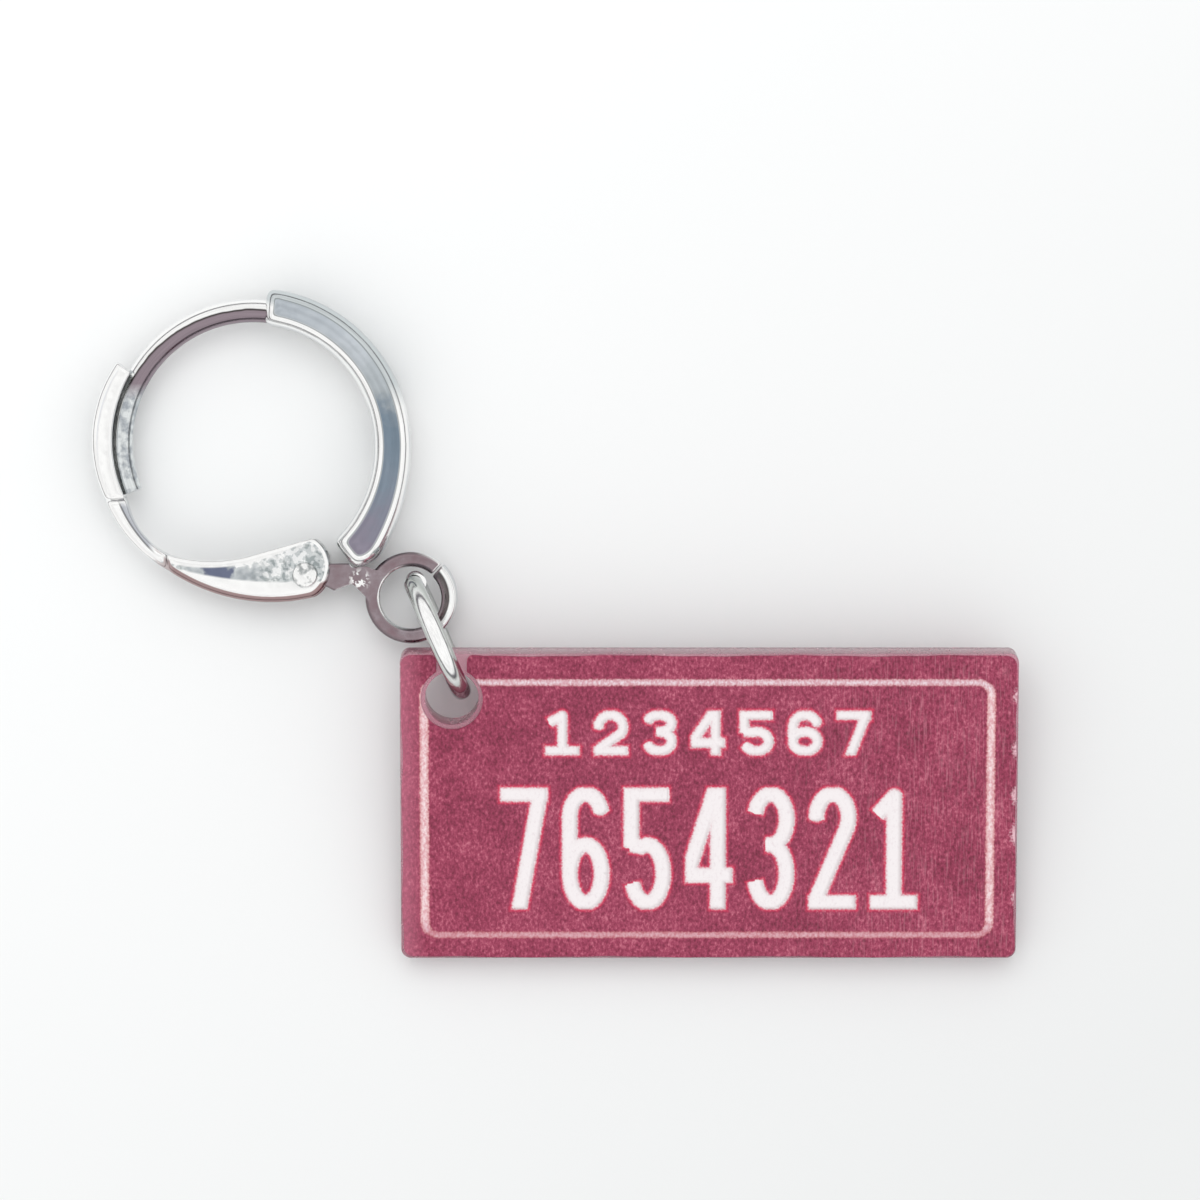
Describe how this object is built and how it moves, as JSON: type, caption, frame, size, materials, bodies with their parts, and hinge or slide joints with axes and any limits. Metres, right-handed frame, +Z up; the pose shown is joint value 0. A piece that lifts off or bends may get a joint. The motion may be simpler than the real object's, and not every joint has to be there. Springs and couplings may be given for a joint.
{
  "type": "stitch marker",
  "caption": "Hinged hoop that clips round a stitch or needle, with a jump ring and a flat oblong charm hanging from its eye.",
  "frame": {"origin": "centre of the hoop, in its mid-plane", "axes": "+X along the charm's long side, +Y from the charm towards the hoop's top, +Z up from the table, square to the hoop"},
  "size_m": [0.0381, 0.0276, 0.0057],
  "materials": {
    "plated_arc": "bright silver plating on brass",
    "plated_wire": "bright silver plating on brass",
    "ring_wire": "bright silver plating on brass wire",
    "spring_leaf": "plain spring strip",
    "clear_plate": "clear acrylic with polished edges",
    "printed_film": "burgundy print with white line and figures under clear gloss"
  },
  "bodies": {
    "hoop": {"front_arc": "plated_arc", "ear_wire": "plated_wire", "eye_tang": "plated_wire", "hinge_rivet": "plated_wire"},
    "lever": {"lever": "plated_arc", "snap_leaf": "spring_leaf"},
    "ring": {"jump_ring": "ring_wire"},
    "charm": {"charm_plate": "clear_plate", "charm_film": "printed_film"}
  },
  "joints": [
    {"name": "lever_hinge", "type": "hinge", "parent": "hoop", "child": "lever", "pos_m": [0.0022, -0.00531, 0], "axis": [0, 0, 1], "range_deg": [0, 60]},
    {"name": "ring_swing", "type": "hinge", "parent": "hoop", "child": "ring", "pos_m": [0.00755, -0.00747, 0], "axis": [0.9184, 0.3955, 0], "range_deg": [-15, 120]},
    {"name": "charm_swing", "type": "hinge", "parent": "ring", "child": "charm", "pos_m": [0.00769, -0.0078, 0.00145], "axis": [0.9184, 0.3955, 0], "range_deg": [-90, 30]}
  ]
}
